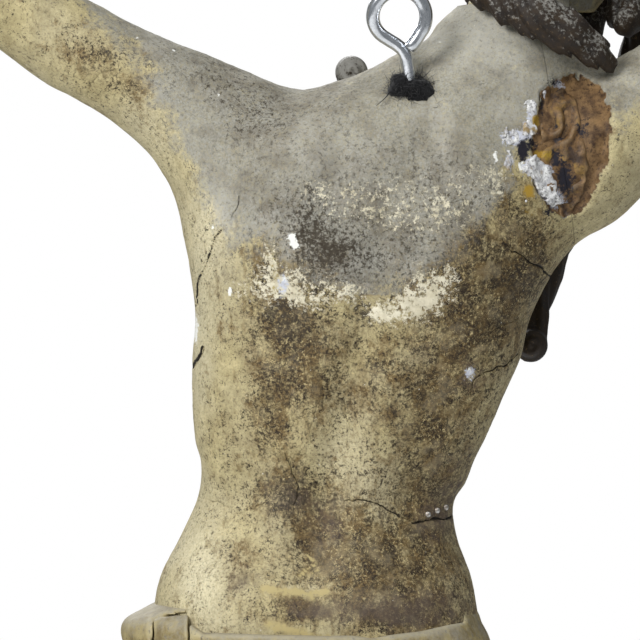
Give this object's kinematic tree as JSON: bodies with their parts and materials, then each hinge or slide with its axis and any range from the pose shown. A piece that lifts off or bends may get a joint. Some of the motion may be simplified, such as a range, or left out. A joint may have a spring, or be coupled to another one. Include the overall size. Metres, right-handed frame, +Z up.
{
  "type": "carved wooden hanging figure",
  "caption": "Carved and painted wooden figure with raised arms and a loincloth, made of doweled blocks and hung by a screw eye in its back.",
  "frame": {"origin": "centre of the ring of the screw eye in the upper back", "axes": "+Z up, the figure faces -Y, its left side is +X"},
  "size_m": [0.567, 0.1283, 0.7525],
  "materials": {
    "skin_paint": "gessoed and oil-painted wood, dusty, stained and flaked",
    "hair_paint": "dark painted carved hair under grey dust",
    "cloth_paint": "ochre painted carved cloth",
    "dowel_wood": "bare turned wood",
    "zinc_steel": "bright zinc-plated wire",
    "black_wool": "matted wool",
    "old_glue": "aged hide glue over raw wood",
    "gesso": "chalky white gesso crust",
    "pin_steel": "small bright pins"
  },
  "bodies": {
    "figure": {"chest_block": "skin_paint", "back_block": "skin_paint", "hip_block": "skin_paint", "head": "skin_paint", "neck_dowel": "dowel_wood", "left_hair_lock": "hair_paint", "right_hair_lock": "hair_paint", "left_arm": "skin_paint", "right_arm": "skin_paint", "left_hand": "skin_paint", "right_hand": "skin_paint", "left_shoulder_dowels": "dowel_wood", "right_shoulder_dowels": "dowel_wood", "left_wrist_dowel": "dowel_wood", "right_wrist_dowel": "dowel_wood", "waist_dowels": "dowel_wood", "left_leg": "skin_paint", "right_leg": "skin_paint", "leg_dowels": "dowel_wood", "left_foot": "skin_paint", "right_foot": "skin_paint", "ankle_dowels": "dowel_wood", "loincloth": "cloth_paint", "loincloth_drape": "cloth_paint", "loincloth_patch": "cloth_paint", "wool_packing": "black_wool", "shoulder_glue": "old_glue", "shoulder_gesso": "gesso", "waist_pins": "pin_steel"},
    "eye_screw": {"eye_screw": "zinc_steel"}
  },
  "joints": [
    {"name": "eye_screw_turn", "type": "hinge", "parent": "figure", "child": "eye_screw", "pos_m": [0, 0, 0], "axis": [0.1651, 0.309, 0.9366], "range_deg": [-90, 90]}
  ]
}
